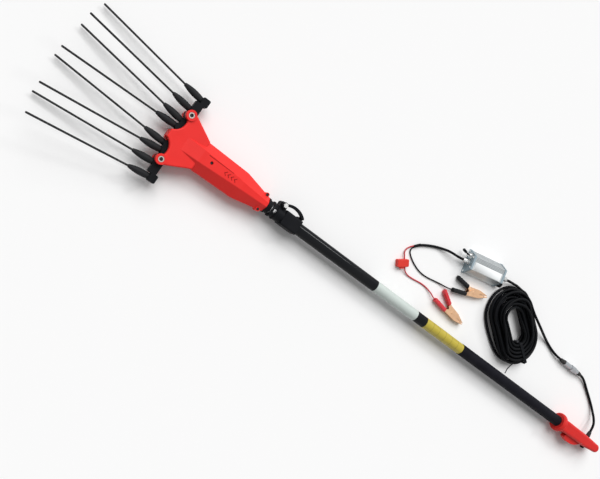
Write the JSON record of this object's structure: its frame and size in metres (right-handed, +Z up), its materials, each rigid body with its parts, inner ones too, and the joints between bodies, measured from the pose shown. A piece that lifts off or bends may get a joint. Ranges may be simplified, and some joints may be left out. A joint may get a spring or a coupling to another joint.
{
  "type": "olive harvester",
  "caption": "Electric olive harvester: telescopic pole with a two-handed vibrating rake head, trigger handle, and a coiled lead with converter box and battery clips.",
  "frame": {"origin": "on the floor under the middle of the tool without its lead, the tool lying flat", "axes": "+X along the pole from the tines to the handle, +Y towards the side on which the lead lies, +Z up"},
  "size_m": [1.871, 0.4066, 0.0727],
  "materials": {
    "red_shell": "satin moulded red",
    "black_nylon": "matte moulded black",
    "boot_rubber": "soft black",
    "carbon_rod": "carbon rod",
    "zinc_steel": "zinc plated",
    "cast_aluminium": "cast",
    "bronze_bush": "sintered bronze",
    "black_pole": "gloss black coating",
    "bare_aluminium": "anodised",
    "grip": "matte sleeve",
    "cap_silver": "grey",
    "cord_black": "cable sheath",
    "cord_red": "wire insulation",
    "red_vinyl": "vinyl",
    "red_clip": "coppered jaw in red vinyl",
    "black_clip": "coppered jaw in black vinyl"
  },
  "bodies": {
    "pole": {"outer_tube": "black_pole", "clamp_body": "black_nylon", "clamp_hardware": "zinc_steel", "grip_sleeve": "grip", "handle_upper": "red_shell", "handle_lower": "red_shell", "trigger_pin": "zinc_steel", "switch_block": "black_nylon", "handle_gland": "black_nylon", "handle_screws": "zinc_steel", "tail_cord": "cord_black", "connector_plug": "cap_silver", "connector_socket": "cap_silver", "feed_cord": "cord_black", "cable_coil": "cord_black", "box_lead": "cord_black", "coil_tie": "black_nylon", "box_body": "bare_aluminium", "box_end_caps": "cap_silver", "box_fittings": "zinc_steel", "battery_cord": "cord_black", "red_lead": "cord_red", "fuse_holder": "red_vinyl", "fuse_lead": "cord_red", "black_lead": "cord_black", "red_fixed_jaw": "red_clip", "black_fixed_jaw": "black_clip", "clip_pins": "zinc_steel"},
    "head": {"upper_housing": "red_shell", "lower_housing": "red_shell", "motor": "zinc_steel", "gearbox": "cast_aluminium", "inner_tube": "bare_aluminium", "neck_collar": "black_nylon", "housing_screws": "zinc_steel", "pivot_bolts": "zinc_steel", "pivot_nuts": "zinc_steel", "pivot_bushes": "bronze_bush"},
    "crank": {"crank": "zinc_steel"},
    "right_hand": {"right_rocker": "black_nylon", "right_boots": "boot_rubber", "tine_1": "carbon_rod", "tine_2": "carbon_rod", "tine_3": "carbon_rod", "tine_4": "carbon_rod"},
    "left_hand": {"left_rocker": "black_nylon", "left_boots": "boot_rubber", "tine_5": "carbon_rod", "tine_6": "carbon_rod", "tine_7": "carbon_rod", "tine_8": "carbon_rod"},
    "right_rod": {"right_rod": "cast_aluminium"},
    "left_rod": {"left_rod": "cast_aluminium"},
    "clamp_lever": {"clamp_lever": "black_nylon"},
    "trigger": {"trigger": "red_shell"},
    "lock_button": {"lock_button": "black_nylon"},
    "toggle": {"toggle": "black_nylon"},
    "box_knob": {"box_knob": "black_nylon"},
    "red_moving_jaw": {"red_moving_jaw": "red_clip"},
    "black_moving_jaw": {"black_moving_jaw": "black_clip"}
  },
  "joints": [
    {"name": "telescope", "type": "slide", "parent": "pole", "child": "head", "axis": [-1, 0, 0], "range_m": [0, 0.6]},
    {"name": "right_swing", "type": "hinge", "parent": "head", "child": "right_hand", "pos_m": [-0.64756, 0.0575, 0.028], "axis": [0, 0, 1], "range_deg": [-7, 7]},
    {"name": "left_swing", "type": "hinge", "parent": "head", "child": "left_hand", "pos_m": [-0.64756, -0.0575, 0.028], "axis": [0, 0, 1], "range_deg": [-7, 7]},
    {"name": "right_rod_pin", "type": "hinge", "parent": "right_hand", "child": "right_rod", "pos_m": [-0.62556, 0.0435, 0.028], "axis": [0, 0, 1], "range_deg": [-8, 8]},
    {"name": "left_rod_pin", "type": "hinge", "parent": "left_hand", "child": "left_rod", "pos_m": [-0.62556, -0.0435, 0.028], "axis": [0, 0, 1], "range_deg": [-8, 8]},
    {"name": "crank_spin", "type": "hinge", "parent": "head", "child": "crank", "pos_m": [-0.62556, 0, 0.028], "axis": [0, 0, 1], "continuous": true},
    {"name": "lock_lever", "type": "hinge", "parent": "pole", "child": "clamp_lever", "pos_m": [-0.35356, 0.024, 0.0384], "axis": [0, 0, 1], "range_deg": [0, 110]},
    {"name": "trigger_press", "type": "hinge", "parent": "pole", "child": "trigger", "pos_m": [0.85744, -0.013, 0.028], "axis": [0, 0, -1], "range_deg": [0, 8], "stiffness_Nm_per_rad": 3, "springref_deg": -5.73},
    {"name": "button_press", "type": "slide", "parent": "pole", "child": "lock_button", "axis": [0, 1, 0], "range_m": [0, 0.003], "stiffness_N_per_m": 800, "springref_m": -0.002},
    {"name": "toggle_flip", "type": "hinge", "parent": "pole", "child": "toggle", "pos_m": [0.16947, 0.22135, 0.017], "axis": [0, 0, 1], "range_deg": [0, 40]},
    {"name": "knob_turn", "type": "hinge", "parent": "pole", "child": "box_knob", "pos_m": [0.30473, 0.21125, 0.0145], "axis": [0.9781, 0.2079, 0], "range_deg": [0, 270]},
    {"name": "red_clip_open", "type": "hinge", "parent": "pole", "child": "red_moving_jaw", "pos_m": [0.22844, 0.0685, 0.0075], "axis": [0, 0, 1], "range_deg": [0, 20], "stiffness_Nm_per_rad": 1, "springref_deg": -17.19},
    {"name": "black_clip_open", "type": "hinge", "parent": "pole", "child": "black_moving_jaw", "pos_m": [0.25344, 0.149, 0.0075], "axis": [0, 0, 1], "range_deg": [0, 20], "stiffness_Nm_per_rad": 1, "springref_deg": -17.19}
  ],
  "couplings": [
    {"joint": "left_swing", "follows": "right_swing", "ratio": -1},
    {"joint": "right_rod_pin", "follows": "right_swing", "ratio": -1},
    {"joint": "left_rod_pin", "follows": "right_swing", "ratio": 1}
  ]
}
